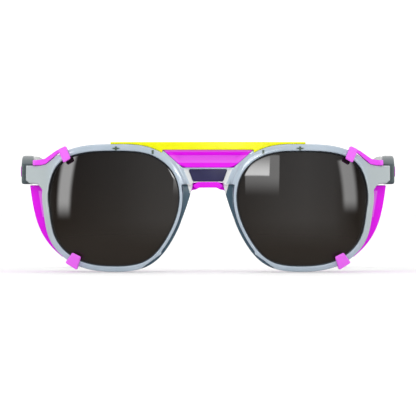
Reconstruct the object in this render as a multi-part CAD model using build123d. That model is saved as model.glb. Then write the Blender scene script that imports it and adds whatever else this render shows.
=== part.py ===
from build123d import *
import math
import os

# Glacier glasses: a wrapped front with two spherical lenses, a brow bar, a one-piece nose pad,
# clip-on side shields and two folding temples on three-knuckle screw hinges.
#
# The front faces -Y, the temples run back along +Y, and the glasses stand on +Z up.
# Everything is drawn with the front of the lenses near Y = 0, and moved at the end so that
# the origin is the middle of the overall box, on the surface that the glasses stand on.

# ---- lens and rim, seen from the front (X across, Z up) ----
LENS_CENTRE_X = 36.2       # half the distance between the lens centres
LENS_CENTRE_Z = 24.6
APERTURE = [               # opening of the right rim, anticlockwise from its outer end
    (61.6, 25.5), (61.1, 35.2), (57.4, 42.2), (50.2, 45.7), (36.2, 46.8), (20.8, 44.7),
    (13.0, 37.6), (11.0, 27.5), (15.6, 13.6), (23.6, 4.5), (36.2, 2.2), (50.0, 4.6), (58.9, 12.9),
]
RIM_WIDTH = 2.35           # mean width of the rim around the opening
RIM_LIFT = 0.25            # the rim is this much wider above the lens, and narrower below it
GROOVE_DEPTH = 0.6         # how far the lens edge goes into the rim

# ---- depth of the front: every face of a rim is part of a sphere round one centre ----
LENS_RADIUS = 90.0         # front surface of the lens, a six base curve
LENS_THICKNESS = 2.0
FACE_ANGLE = 7.0           # each lens turns out by this much, degrees
RIM_PROUD = 1.6            # rim in front of the lens surface
RIM_DEPTH = 4.2            # rim from front to back
GROOVE_GAP = 0.05          # lens to groove, each way

# ---- end piece and hinge ----
FRONT_HALF_WIDTH = 70.6
BUTT_Y = 15.6              # plane where the temple meets the end piece
BUTT_GAP = 0.15
END_TOP, END_BOTTOM = 41.2, 34.2
SEAT_Y = 13.6              # back of the end piece under the hinge leaf
SEAT_X, BUTT_X = 62.2, 67.4    # inner sides of the leaf's seat and of the block the temple closes on
BLOCK_Y = 6.0              # the seat and the block begin inside the end piece, this far back
END_PROFILE = [            # end piece from the front, from its upper inner corner outwards
    (57.9, 45.4), (62.8, END_TOP + 0.5), (65.2, END_TOP), (FRONT_HALF_WIDTH, END_TOP),
    (FRONT_HALF_WIDTH, END_BOTTOM + 1.2), (69.0, END_BOTTOM), (65.6, END_BOTTOM - 0.4),
    (64.3, END_BOTTOM - 2.2), (62.0, END_BOTTOM - 4.0), (60.0, 38.0),
]
HINGE_X, HINGE_Y = 65.6, 16.2
KNUCKLE_RADIUS = 1.5
SCREW_RADIUS = 0.7
SCREW_CLEARANCE = 0.05
HINGE_BOTTOM, HINGE_TOP = 35.1, 40.3
KNUCKLE_GAP = 0.08
LEAF_THICKNESS = 1.1
LEAF_SINK = 0.5            # depth of the leaf's pocket
RIVET_RADIUS = 0.45

# ---- temple, in side view (Y, Z) and from above (Y, X) ----
TEMPLE_TOP = [(34, 44.9), (62, 45.4), (84, 43.8), (98, 41.3), (116, 34.6), (130, 20.0), (139, 4.6)]
TEMPLE_NOSE = [(15.75, 41.9), (18.4, 43.7)]
TEMPLE_BOTTOM = [
    (15.75, 34.0), (24, 33.95), (32, 34.1), (70, 36.0), (96, 34.4), (110, 28.8), (123, 15.2), (132.6, 2.4),
]
TEMPLE_END = (136.9, 0.15)
TEMPLE_OUTER = [(15.75, 72.6), (40, 72.4), (80, 69.6), (110, 64.6), (141, 55.6)]
TEMPLE_THICKNESS = [5.0, 4.3, 3.6, 3.3, 3.6]
TIP_START_Y = 101.0        # the rubber tip begins here
TIP_SKIN = 0.9             # rubber over the arm's tongue
TONGUE_END_Y = 118.0
CORE_THICKNESS = 0.9
CORE_HEIGHT = 1.7
CORE_GAP = 0.05
CORD_HOLE_RADIUS = 1.1
CORD_HOLE = (134.2, 6.2)   # Y and Z of the hole for a neck cord

# ---- middle ----
BROW_TOP, BROW_BOTTOM = 50.2, 47.2
BROW_HALF_LENGTH = 37.7
BROW_END_BOTTOM = 49.0
BROW_WEDGE = [(19.0, 45.9), (17.6, 45.9), (17.6, BROW_BOTTOM)]    # the corner that fills between rim and pad
BROW_RADIUS = 400.0        # gentle wrap of the bar
BROW_FRONT_Y = 0.6
BROW_DEPTH = 5.6
PEG_RADIUS = 0.7
PEG_LENGTH = 1.4
PEG_XS = (21.0, 35.6)
PAD_TOP_HALF, PAD_BOTTOM_HALF = 17.4, 9.9
PAD_BOTTOM = 40.5
PAD_FRONT_Y, PAD_BACK_Y = 1.4, 6.8
PAD_LIP = 1.3
BRIDGE_TOP, BRIDGE_BOTTOM = 40.3, 34.9
BRIDGE_FRONT_Y, BRIDGE_BACK_Y = 0.9, 7.4
BRIDGE_SHOULDER = 33.6     # lowest point of the bridge, beside the nose
BRIDGE_SIDE = [            # outline of the bridge from the pad down to the nose
    (17.5, 45.0), (19.0, 44.0), (13.4, 38.0), (10.9, BRIDGE_SHOULDER), (6.4, BRIDGE_SHOULDER), (5.4, BRIDGE_BOTTOM),
]
PLATE_CORNERS = [(-7.4, 39.6), (7.4, 39.6), (5.8, 35.1), (-5.8, 35.1)]
BEVEL_CORNERS = [(-9.5, 39.8), (9.5, 39.8), (6.9, 33.4), (-6.9, 33.4)]
PLATE_THICKNESS = 1.2
PLATE_SINK = 1.0           # plate behind the front of the bridge
FIT_GAP = 0.05             # soft or glued piece to its seat

# ---- moulded edges ----
RIM_ROUND_OUTER, RIM_ROUND_INNER = 0.8, 0.45
RIM_EDGE_LENGTH = 100.0    # an edge longer than this runs right round the rim
END_CORNER_ROUND, END_ROUND = 1.2, 0.8
END_START_X = 66.0         # edges of the end piece further out than this are rounded
TEMPLE_ROUND = 0.9
BAR_ROUND = 0.6
PAD_ROUND, PAD_CORNER_ROUND = 0.4, 2.5
NOSE_PAD_ROUND = 0.9
CLIP_ROUND = 0.5
LEAF_ROUND = 0.2

# ---- nose flange, part of the frame, and the soft pad behind it ----
NOSE_LINE = [(5.9, 33.3), (7.2, 28.6), (10.3, 19.9), (14.4, 11.8), (20.6, 4.3)]
NOSE_TOP_X = NOSE_LINE[0][0]
FLANGE_ROOT = [(20.6, 4.3), (26.0, 5.0), (16.0, 20.0), (14.5, 36.0), (5.9, 36.4), (5.9, 33.3)]
FLANGE_SET_BACK = 0.7      # flange behind the lens surface
FLANGE_DEPTH = 5.0
STEP_RIM_WIDTH = 1.15      # the rim beside the nose is this wide, in front of the flange
NOSE_STEP = [(0, 30.5), (6.6, 31.2), (9.2, 33.8), (12, 33.8), (18, 12), (18, 7), (27, 0.5), (27, -4), (0, -4)]
NOSE_PAD_THICKNESS = 2.6
NOSE_PAD_WIDTH = 4.6
NOSE_PAD_INSET, NOSE_PAD_LIFT = 0.3, 0.6
NOSE_PAD_LOW = (17.4, 10.0)    # middle of the pad's lower end
SADDLE_STRIP = [(0, 34.8), (3.9, 34.8), (5.8, 33.4), (4.6, 31.9), (3.3, 32.6), (0, 32.6)]
SADDLE_LINK = [
    (0, 34.8), (3.9, 34.8), (9.8, 33.9), (9.0, 28.0), (7.4, 28.4), (6.3, 31.6), (4.6, 31.9), (3.3, 32.6), (0, 32.6),
]
SADDLE_FRONT_Y, SADDLE_BACK_Y = 1.6, 10.4

# ---- side shield ----
SHIELD_THICKNESS = 1.3
SHIELD_TOP = 33.6          # upper edge of the leaf, under the end piece
SHIELD_LINE = [(69.2, SHIELD_TOP), (68.2, 27.0), (66.7, 20.6), (64.2, 14.6), (60.0, 9.0), (56.4, 5.8)]
SHIELD_EDGE = [(31.0, SHIELD_TOP), (34.2, 27.0), (30.5, 18.5), (22.0, 10.6), (12.0, 5.2)]
SHIELD_START_Y = 2.0       # the leaf is drawn from here back
SHIELD_INNER = [(52.5, 5.6), (56.8, 12.0), (60.6, 22.0), (61.6, SHIELD_TOP)]    # inner side of the part behind the rim
SHELF = (60.4, 66.0, 10.0, 15.8, 32.3, 33.55)    # ledge under the end piece: X, Y and Z limits
POST = (60.4, 63.4, 14.5, 15.7, 32.3, 43.0)      # post behind the end piece
ROOF_BACK_Y, ROOF_X = 15.4, 67.9
ROOF_FACE = [              # strap over the end piece, from the front
    (56.2, 48.0), (58.8, 46.9), (63.2, 43.8), (65.4, 43.4), (ROOF_X, 43.3), (ROOF_X, END_TOP + 0.06),
    (65.2, END_TOP + 0.06), (62.8, END_TOP + 0.56), (58.2, 45.66), (55.4, 47.4),
]
CLIP_LIP = 1.15            # thickness of a clip in front of the rim
CLIP_GAP = 0.05
TOP_CLIP = [(58.0, 47.4), (55.0, 48.8), (52.9, 43.8), (55.8, 42.1)]
BOTTOM_CLIP = [(52.3, 7.6), (48.9, 5.9), (50.6, 0.7), (55.2, 3.6)]
LEAF_LONG_EDGE = 20.0      # edges of the leaf longer than this are rounded

SPHERE_X = LENS_CENTRE_X - LENS_RADIUS * math.sin(math.radians(FACE_ANGLE))
SPHERE_Y = LENS_RADIUS * math.cos(math.radians(FACE_ANGLE))
RIM_FRONT_R = LENS_RADIUS + RIM_PROUD
RIM_BACK_R = RIM_FRONT_R - RIM_DEPTH
END_BACK_R = RIM_BACK_R - 1.6    # the end piece is this much deeper than the rim
FAR = 60.0                 # longer than any piece drawn across the depth of the front
OUTLINE_POINTS = 40        # points of a curve that runs beside the opening


def ball(radius):
    """Ball round the centre that the right lens and rim share."""
    return Pos(SPHERE_X, SPHERE_Y, LENS_CENTRE_Z) * Sphere(radius)


def shell(front_radius, back_radius):
    return ball(front_radius) - ball(back_radius)


def front_face(points):
    """Flat face in the front view, from its corners."""
    return Face(Wire(Polyline([Vector(x, 0, z) for x, z in points], close=True).edges()))


def beside(curve, amount, count, view, closed=False):
    """Spline that runs beside a curve, moved by amount towards the right of its direction of travel
    as seen along view."""
    last = count if closed else count - 1
    places = [curve @ (i / last) + view.cross(curve % (i / last)).normalized() * amount for i in range(count)]
    return Spline(places, periodic=closed)


def round_opening(amount, lift=0.0):
    """Face in the front view: the opening of the right rim, with its edge moved outwards."""
    curve = Spline([Vector(x, 0, z) for x, z in APERTURE], periodic=True)
    edge = beside(curve, amount, OUTLINE_POINTS, Vector(0, 1, 0), closed=True)
    return Pos(0, 0, lift) * Face(Wire([edge]))


def through(face, start=-12.0, end=FAR):
    """The front-view face drawn out along Y."""
    return extrude(Pos(0, start, 0) * face, amount=end - start, dir=(0, 1, 0))


def grow(face, amount):
    """Face of straight lines and arcs in the front view, with its outline moved outwards."""
    return Face(face.outer_wire().offset_2d(amount, kind=Kind.INTERSECTION))


def block(x0, x1, y0, y1, z0, z1):
    return Pos((x0 + x1) / 2, (y0 + y1) / 2, (z0 + z1) / 2) * Box(x1 - x0, y1 - y0, z1 - z0)


def one(shape):
    """The shape's largest solid, which drops slivers left by curved cuts."""
    return max(shape.solids(), key=lambda s: s.volume)


def left(shape):
    return mirror(shape, about=Plane.YZ)


aperture = round_opening(0.0)
lens_outline = round_opening(GROOVE_DEPTH)
rim_outline = round_opening(RIM_WIDTH, RIM_LIFT)
rim_ring = through(rim_outline) - through(aperture)


def make_lens():
    return one(through(lens_outline) & shell(LENS_RADIUS, LENS_RADIUS - LENS_THICKNESS))


def lens_groove():
    outline = round_opening(GROOVE_DEPTH + GROOVE_GAP)
    return through(outline) & shell(LENS_RADIUS + GROOVE_GAP, LENS_RADIUS - LENS_THICKNESS - GROOVE_GAP)


def on_end_front(edge):
    """Whether an edge bounds the front of the end piece, outside the rim."""
    from_centre = (edge.center() - Vector(SPHERE_X, SPHERE_Y, LENS_CENTRE_Z)).length
    return edge.geom_type == GeomType.CIRCLE and edge.center().X > END_START_X and from_centre > RIM_FRONT_R - 1.0


def make_end_piece():
    """Arm of the frame from the rim out to the hinge."""
    profile = front_face(END_PROFILE)
    deep = through(profile) & block(0, 2 * FAR, -FAR, FAR, END_BOTTOM - 0.5, FAR)
    body = (through(profile) & shell(RIM_FRONT_R, RIM_BACK_R)) + (deep & shell(RIM_FRONT_R, END_BACK_R))
    seat = deep & block(SEAT_X, FRONT_HALF_WIDTH, BLOCK_Y, SEAT_Y, 0, FAR)
    butt = deep & block(BUTT_X, FRONT_HALF_WIDTH, BLOCK_Y, BUTT_Y, 0, FAR)
    body = (body + (seat + butt)) & ball(RIM_FRONT_R)
    body -= block(0, 2 * FAR, BUTT_Y, FAR, 0, FAR)
    body -= block(0, BUTT_X, SEAT_Y, FAR, 0, FAR)
    corner = body.edges().filter_by(Axis.Z).group_by(Axis.X)[-1].group_by(Axis.Y)[0]
    body = fillet(corner, END_CORNER_ROUND)
    return fillet(body.edges().filter_by(on_end_front), END_ROUND)


def make_flange():
    """Wall of the frame that leans in towards the nose."""
    line = Spline([Vector(x, 0, z) for x, z in NOSE_LINE])
    rest = Polyline([Vector(x, 0, z) for x, z in FLANGE_ROOT])
    face = Face(Wire(line.edges() + rest.edges()))
    wall = through(face) & shell(LENS_RADIUS - FLANGE_SET_BACK, LENS_RADIUS - FLANGE_SET_BACK - FLANGE_DEPTH)
    return wall - through(aperture)


def make_bridge_half():
    top = [(0, BRIDGE_TOP), (PAD_BOTTOM_HALF, BRIDGE_TOP), (PAD_TOP_HALF + 0.1, BROW_BOTTOM - 0.1)]
    body = through(front_face(top + BRIDGE_SIDE + [(0, BRIDGE_BOTTOM)]), BRIDGE_FRONT_Y, BRIDGE_BACK_Y)
    return body - through(aperture)


plate_face = front_face(PLATE_CORNERS)
bevel_face = front_face(BEVEL_CORNERS)


def hinge_pocket():
    return block(62.9, 67.5, SEAT_Y - LEAF_SINK, 30, HINGE_BOTTOM - FIT_GAP, HINGE_TOP + FIT_GAP)


def front_rivets(radius):
    return [Pos(x, SEAT_Y - 1.3, (HINGE_BOTTOM + HINGE_TOP) / 2 + dz) * Rot(90, 0, 0) * Cylinder(radius, 3.4)
            for x, dz in ((63.7, -1.5), (63.7, 1.5))]


def peg_axis(x):
    """Y and Z where a peg of the brow bar meets the top of the rim at x."""
    radius = (RIM_FRONT_R + RIM_BACK_R) / 2
    z = 47.6 if x < 30 else 49.5
    y = SPHERE_Y - math.sqrt(radius**2 - (x - SPHERE_X) ** 2 - (z - LENS_CENTRE_Z) ** 2)
    return y, z


def pegs(radius, extra=0.0):
    made = []
    for x in PEG_XS:
        y, z = peg_axis(x)
        made.append(Pos(x, y, z - PEG_LENGTH / 2 + 0.5) * Cylinder(radius, PEG_LENGTH + extra + 1.0))
    return made


def make_rim():
    """Ring around the lens, with its edges rounded except the one at the back of the opening."""
    ring = one(rim_ring & shell(RIM_FRONT_R, RIM_BACK_R))
    ring = fillet(ring.edges().sort_by(SortBy.LENGTH)[-2:], RIM_ROUND_OUTER)
    around = ring.edges().filter_by(lambda e: e.length > RIM_EDGE_LENGTH).sort_by(SortBy.LENGTH)
    inner_front = around[:2].sort_by(Axis.Y)[0]
    return fillet(inner_front, RIM_ROUND_INNER)


def make_front_frame():
    half = make_rim()
    half = half + make_end_piece() + make_flange() + make_bridge_half()
    half -= through(aperture)
    half -= lens_groove()
    step = through(front_face(NOSE_STEP)) - through(round_opening(STEP_RIM_WIDTH))
    half -= step & shell(RIM_FRONT_R + 1, LENS_RADIUS - FLANGE_SET_BACK)
    half &= block(0, 100, -20, 60, -10, 80)
    half -= hinge_pocket()
    for hole in front_rivets(RIVET_RADIUS + FIT_GAP) + pegs(PEG_RADIUS + FIT_GAP, 0.2):
        half -= hole
    whole = one(half) + left(one(half))
    seat = grow(plate_face, FIT_GAP)
    bevel = loft([Pos(0, BRIDGE_FRONT_Y - 0.01, 0) * bevel_face, Pos(0, BRIDGE_FRONT_Y + PLATE_SINK, 0) * seat])
    pocket = through(seat, BRIDGE_FRONT_Y - 0.01, BRIDGE_FRONT_Y + PLATE_SINK + PLATE_THICKNESS)
    return one(whole - bevel - pocket)


def make_brow_bar():
    half = [(BROW_HALF_LENGTH, BROW_TOP), (BROW_HALF_LENGTH, BROW_END_BOTTOM), *BROW_WEDGE]
    corners = half + [(-x, z) for x, z in reversed(half)]
    band = Cylinder(BROW_RADIUS, FAR) - Cylinder(BROW_RADIUS - BROW_DEPTH, FAR)
    bar = through(front_face(corners), -BROW_DEPTH, FAR) & Pos(0, BROW_RADIUS + BROW_FRONT_Y, BROW_TOP) * band
    clear = through(round_opening(RIM_WIDTH + FIT_GAP, RIM_LIFT))
    bar = one(bar - clear - left(clear))
    top = bar.edges().filter_by(lambda e: e.center().Z > BROW_TOP - 0.01 and e.length > BROW_HALF_LENGTH)
    bar = fillet(top, BAR_ROUND)
    for peg in pegs(PEG_RADIUS):
        trimmed = peg & block(0, FAR, -FAR, FAR, 0, BROW_TOP - 0.1)
        bar = bar + trimmed + left(trimmed)
    return one(bar)


def make_brow_pad():
    corners = [(-PAD_TOP_HALF, BROW_BOTTOM - FIT_GAP), (PAD_TOP_HALF, BROW_BOTTOM - FIT_GAP),
               (PAD_BOTTOM_HALF, PAD_BOTTOM), (-PAD_BOTTOM_HALF, PAD_BOTTOM)]
    face = front_face(corners)
    low_corners = face.vertices().sort_by(Axis.Z)[:2]
    face = fillet(low_corners, PAD_CORNER_ROUND).face()
    body = through(face, PAD_FRONT_Y, PAD_BACK_Y)
    clear = through(round_opening(RIM_WIDTH + FIT_GAP, RIM_LIFT))
    body = one(body - clear - left(clear))
    body = fillet(body.edges().filter_by(lambda e: e.center().Y < PAD_FRONT_Y + 0.01), PAD_ROUND)
    step = through(Pos(0, 0, -0.1) * grow(face, -PAD_LIP), 0, PAD_FRONT_Y + 0.8)
    well = through(Pos(0, 0, -0.45) * grow(face, -PAD_LIP - 0.9), 0, PAD_FRONT_Y + 1.7)
    return one(body - step - well)


def make_bridge_plate():
    front = BRIDGE_FRONT_Y + PLATE_SINK
    return one(through(plate_face, front, front + PLATE_THICKNESS - FIT_GAP))


def make_nose_pad():
    """Soft saddle: a strip under the bridge, and a pad down the back of each flange."""
    pad_front = LENS_RADIUS - FLANGE_SET_BACK - FLANGE_DEPTH - FIT_GAP
    pad_line = NOSE_LINE[:4]
    outer = Spline([Vector(x + NOSE_PAD_INSET, 0, z) for x, z in pad_line])
    inner = Spline([Vector(x + NOSE_PAD_WIDTH, 0, z + NOSE_PAD_LIFT) for x, z in reversed(pad_line)])
    low = ThreePointArc(outer @ 1, Vector(NOSE_PAD_LOW[0], 0, NOSE_PAD_LOW[1]), inner @ 0)
    high = Line(inner @ 1, outer @ 0)
    face = Face(Wire([outer, low, inner, high]))
    pad = one(through(face) & shell(pad_front, pad_front - NOSE_PAD_THICKNESS))
    pad = fillet(pad.edges().filter_by(lambda e: e.center().Y > pad.center().Y + 0.6), NOSE_PAD_ROUND)
    strip = through(front_face(SADDLE_STRIP), SADDLE_FRONT_Y, SADDLE_BACK_Y)
    link = through(front_face(SADDLE_LINK), SADDLE_BACK_Y - NOSE_PAD_THICKNESS, SADDLE_BACK_Y)
    half = pad + strip + link
    half -= shell(RIM_FRONT_R + FAR, pad_front) & block(NOSE_TOP_X, FAR, -FAR, FAR, 0, FAR)
    half -= block(NOSE_TOP_X, FAR, 0, BRIDGE_BACK_Y + FIT_GAP, BRIDGE_SHOULDER - FIT_GAP, FAR)
    half &= block(0, FAR, -FAR, FAR, 0, FAR)
    return one(half + left(half))


def knuckle(z0, z1, radius=KNUCKLE_RADIUS):
    return Pos(HINGE_X, HINGE_Y, (z0 + z1) / 2) * Cylinder(radius, z1 - z0)


KNUCKLE_HEIGHT = (HINGE_TOP - HINGE_BOTTOM - 2 * KNUCKLE_GAP) / 3
LOW_KNUCKLE = (HINGE_BOTTOM, HINGE_BOTTOM + KNUCKLE_HEIGHT)
MID_KNUCKLE = (LOW_KNUCKLE[1] + KNUCKLE_GAP, LOW_KNUCKLE[1] + KNUCKLE_GAP + KNUCKLE_HEIGHT)
HIGH_KNUCKLE = (HINGE_TOP - KNUCKLE_HEIGHT, HINGE_TOP)


def screw_bore():
    return knuckle(HINGE_BOTTOM - 3, HINGE_TOP + 3, SCREW_RADIUS + SCREW_CLEARANCE)


def make_front_leaf():
    leaf_y = SEAT_Y - LEAF_SINK
    body = block(62.95, 67.1, leaf_y, leaf_y + LEAF_THICKNESS, HINGE_BOTTOM, HINGE_TOP)
    for z0, z1 in (LOW_KNUCKLE, HIGH_KNUCKLE):
        body = body + block(64.3, 66.9, leaf_y, HINGE_Y, z0, z1) + knuckle(z0, z1)
    body -= screw_bore()
    for hole in front_rivets(RIVET_RADIUS + FIT_GAP):
        body -= hole
    return one(body)


def make_front_rivets():
    made = []
    for pin in front_rivets(RIVET_RADIUS):
        box = pin.bounding_box()
        head = Pos(pin.center().X, SEAT_Y - LEAF_SINK + LEAF_THICKNESS + 0.15, (box.min.Z + box.max.Z) / 2)
        shank = pin & block(60, 70, 0, SEAT_Y - LEAF_SINK + LEAF_THICKNESS + 0.01, 30, 50)
        made.append(one(shank + head * Rot(90, 0, 0) * Cylinder(0.75, 0.3)))
    return made


def make_screw():
    """Hinge screw with a slotted head on top and a peened end below."""
    shank = knuckle(HINGE_BOTTOM - 0.25, HINGE_TOP + 0.1, SCREW_RADIUS)
    head = knuckle(HINGE_TOP + 0.04, HINGE_TOP + 0.75, 1.25)
    slot = block(HINGE_X - 2, HINGE_X + 2, HINGE_Y - 0.18, HINGE_Y + 0.18, HINGE_TOP + 0.45, HINGE_TOP + 2)
    return one(shank + head - slot)


def temple_inner():
    """The inner line of the temple, seen from above."""
    return [(y, x - t) for (y, x), t in zip(TEMPLE_OUTER, TEMPLE_THICKNESS)]


def side_profile(inset=0.0):
    """The temple in side view, drawn out across X, with its upper and lower edges moved inwards."""
    top = Spline([Vector(0, y, z) for y, z in TEMPLE_NOSE + TEMPLE_TOP])
    bottom = Spline([Vector(0, y, z) for y, z in TEMPLE_BOTTOM])
    if inset:
        top = beside(top, inset, OUTLINE_POINTS, Vector(-1, 0, 0))
        bottom = beside(bottom, -inset, OUTLINE_POINTS, Vector(-1, 0, 0))
    end_cap = ThreePointArc(top @ 1, Vector(0, *TEMPLE_END), bottom @ 1)
    root = Line(bottom @ 0, top @ 0)
    face = Face(Wire([top, end_cap, bottom, root]))
    return extrude(Pos(50, 0, 0) * face, amount=30, dir=(1, 0, 0))


def plan_band(inset=0.0):
    """The temple from above, drawn out along Z."""
    outer = Spline([Vector(x - inset, y, 0) for y, x in TEMPLE_OUTER])
    inner = Spline([Vector(x + inset, y, 0) for y, x in temple_inner()])
    face = Face(Wire([outer, Line(outer @ 1, inner @ 1), inner, Line(inner @ 0, outer @ 0)]))
    return extrude(Pos(0, 0, -10) * face, amount=70, dir=(0, 0, 1))


def temple_shape():
    """The whole temple with rounded edges, before it is split into arm and tip."""
    whole = one(side_profile() & plan_band())
    return fillet(whole.edges(), TEMPLE_ROUND)


def core_line():
    """Middle line of the arm in side view, for the steel core."""
    return [(31.0, 40.3), (60.0, 40.9), (98.0, 37.8), (112.0, 32.0), (124.0, 19.5)]


def core_shape(gap=0.0):
    """Flat steel core of the temple, or the slot for it when a gap is given."""
    line = Spline([Vector(0, y, z) for y, z in core_line()])
    half = CORE_HEIGHT / 2 + gap
    upper, lower = (beside(line, side * half, 12, Vector(1, 0, 0)) for side in (-1, 1))
    face = Face(Wire([upper, Line(upper @ 1, lower @ 1), lower, Line(lower @ 0, upper @ 0)]))
    body = extrude(Pos(50, 0, 0) * face, amount=30, dir=(1, 0, 0))
    middle = [(y, x - t / 2) for (y, x), t in zip(TEMPLE_OUTER, TEMPLE_THICKNESS)]
    half = CORE_THICKNESS / 2 + gap
    outer = Spline([Vector(x + half, y, 0) for y, x in middle])
    inner = Spline([Vector(x - half, y, 0) for y, x in middle])
    plan = Face(Wire([outer, Line(outer @ 1, inner @ 1), inner, Line(inner @ 0, outer @ 0)]))
    return one(body & extrude(Pos(0, 0, -10) * plan, amount=70, dir=(0, 0, 1)))


TEMPLE_INNER_X = TEMPLE_OUTER[0][1] - TEMPLE_THICKNESS[0]
LEAF_X = TEMPLE_INNER_X - LEAF_THICKNESS + LEAF_SINK
LEAF_END_Y = 29.0


def temple_rivets(radius):
    z = (HINGE_BOTTOM + HINGE_TOP) / 2
    return [Pos(LEAF_X + 1.6, y, z + dz) * Rot(0, 90, 0) * Cylinder(radius, 3.2) for y, dz in ((22.0, -1.2), (26.8, 1.2))]


INLAY_Z = (37.0, 41.0)
INLAY_Y = (19.5, 38.0)
INLAY_SINK = 1.0


def inlay_shape(gap=0.0):
    """Coloured strip let into the outside of the temple."""
    z0, z1 = INLAY_Z
    band = block(60, 90, INLAY_Y[0] - gap, INLAY_Y[1] + gap, z0 - gap, z1 + gap)
    band = fillet(band.edges().filter_by(Axis.X), 1.6)
    outer = [(y, x) for y, x in TEMPLE_OUTER]
    skin_out = Spline([Vector(x + 0.4, y, 0) for y, x in outer])
    skin_in = Spline([Vector(x - INLAY_SINK - gap, y, 0) for y, x in outer])
    plan = Face(Wire([skin_out, Line(skin_out @ 1, skin_in @ 1), skin_in, Line(skin_in @ 0, skin_out @ 0)]))
    return one(band & extrude(Pos(0, 0, -10) * plan, amount=70, dir=(0, 0, 1)))


def make_temple_arm():
    tongue = side_profile(TIP_SKIN + FIT_GAP) & plan_band(TIP_SKIN + FIT_GAP)
    front = temple_shape() & block(40, 90, 0, TIP_START_Y, -10, 60)
    tail = tongue & block(40, 90, TIP_START_Y - 1, TONGUE_END_Y, -10, 60)
    arm = one(front) + one(tail)
    arm -= core_shape(CORE_GAP)
    arm -= block(LEAF_X - 1, TEMPLE_INNER_X + LEAF_SINK + FIT_GAP, 10, LEAF_END_Y + FIT_GAP,
                 HINGE_BOTTOM - FIT_GAP, HINGE_TOP + FIT_GAP)
    for hole in temple_rivets(RIVET_RADIUS + FIT_GAP):
        arm -= hole
    arm -= inlay_shape(FIT_GAP)
    return one(arm)


def make_temple_tip():
    tip = temple_shape() & block(40, 90, TIP_START_Y + FIT_GAP, 200, -10, 60)
    pocket = side_profile(TIP_SKIN) & plan_band(TIP_SKIN) & block(40, 90, 90, TONGUE_END_Y + FIT_GAP, -10, 60)
    tip = one(tip) - one(pocket) - core_shape(CORE_GAP)
    y, z = CORD_HOLE
    tip -= Pos(62, y, z) * Rot(0, 90, 0) * Cylinder(CORD_HOLE_RADIUS, 30)
    return one(tip)


def make_temple_leaf():
    z0, z1 = MID_KNUCKLE
    body = block(LEAF_X, LEAF_X + LEAF_THICKNESS, 18.0, LEAF_END_Y, HINGE_BOTTOM, HINGE_TOP)
    body = body + block(HINGE_X, LEAF_X + LEAF_THICKNESS, HINGE_Y, 19.4, z0, z1) + knuckle(z0, z1)
    body -= screw_bore()
    for hole in temple_rivets(RIVET_RADIUS + FIT_GAP):
        body -= hole
    return one(body)


def make_temple_rivets():
    made = []
    for pin in temple_rivets(RIVET_RADIUS):
        centre = pin.center()
        shank = pin & block(LEAF_X - 0.01, 90, 10, 40, 20, 60)
        made.append(one(shank + Pos(LEAF_X - 0.15, centre.Y, centre.Z) * Rot(0, 90, 0) * Cylinder(0.75, 0.3)))
    return made


def make_shield():
    """Flexible side shell: a leaf under the temple, a roof over the end piece and two rim clips."""
    back_r = RIM_BACK_R - CLIP_GAP
    lip_r = RIM_FRONT_R + CLIP_GAP
    outer = Spline([Vector(x, 0, z) for x, z in SHIELD_LINE])
    inner = Spline([Vector(x - SHIELD_THICKNESS, 0, z) for x, z in SHIELD_LINE])
    band = Face(Wire([outer, Line(outer @ 1, inner @ 1), inner, Line(inner @ 0, outer @ 0)]))
    edge = Spline([Vector(0, y, z) for y, z in SHIELD_EDGE])
    low_z = SHIELD_EDGE[-1][1]
    rest = Polyline([edge @ 1, Vector(0, SHIELD_START_Y, low_z), Vector(0, SHIELD_START_Y, SHIELD_TOP), edge @ 0])
    side = Face(Wire([edge, *rest.edges()]))
    leaf = through(band) & extrude(Pos(40, 0, 0) * side, amount=50, dir=(1, 0, 0))
    leaf = one(leaf & ball(back_r))
    leaf = fillet(leaf.edges().filter_by(lambda e: e.length > LEAF_LONG_EDGE), LEAF_ROUND)
    flange_curve = Spline([Vector(x - 0.2, 0, z) for x, z in SHIELD_LINE])
    rest = Polyline([flange_curve @ 1, *[Vector(x, 0, z) for x, z in SHIELD_INNER], flange_curve @ 0])
    flange = through(Face(Wire([flange_curve, *rest.edges()]))) & shell(back_r, back_r - SHIELD_THICKNESS)
    shelf = block(*SHELF) & ball(back_r)
    roof_bar = through(front_face(ROOF_FACE), 0, ROOF_BACK_Y)
    roof = (roof_bar & ball(RIM_FRONT_R + 0.4)) - ball(RIM_BACK_R - 2.6)
    roof = roof + (roof_bar & block(POST[0], ROOF_X, 9, ROOF_BACK_Y, END_TOP - 0.2, FAR)) + block(*POST)
    span = shell(lip_r + CLIP_LIP, back_r - SHIELD_THICKNESS)
    top_clip, bottom_clip = (one(through(front_face(corners)) & span) for corners in (TOP_CLIP, BOTTOM_CLIP))
    clips = fillet(top_clip.edges(), CLIP_ROUND) + fillet(bottom_clip.edges(), CLIP_ROUND)
    body = leaf + flange + shelf + roof + clips
    keep_off = through(round_opening(RIM_WIDTH + CLIP_GAP, RIM_LIFT)) & shell(lip_r, back_r)
    return one(body - keep_off)


def build():
    frame = make_front_frame()
    nodes = {"front_frame": [frame], "brow_bar": [make_brow_bar()], "brow_pad": [make_brow_pad()],
             "bridge_plate": [make_bridge_plate()], "nose_pad": [make_nose_pad()]}
    handed = {
        "lens": [make_lens()], "hinge_leaf_front": [make_front_leaf()], "hinge_rivets_front": make_front_rivets(),
        "hinge_screw": [make_screw()], "hinge_leaf_temple": [make_temple_leaf()],
        "hinge_rivets_temple": make_temple_rivets(), "temple_arm": [make_temple_arm()],
        "temple_core": [core_shape()], "temple_tip": [make_temple_tip()], "temple_inlay": [inlay_shape()],
        "side_shield": [make_shield()],
    }
    for name, solids in handed.items():
        nodes[name + "_right"] = solids
        nodes[name + "_left"] = [left(s) for s in solids]
    return nodes


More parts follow.
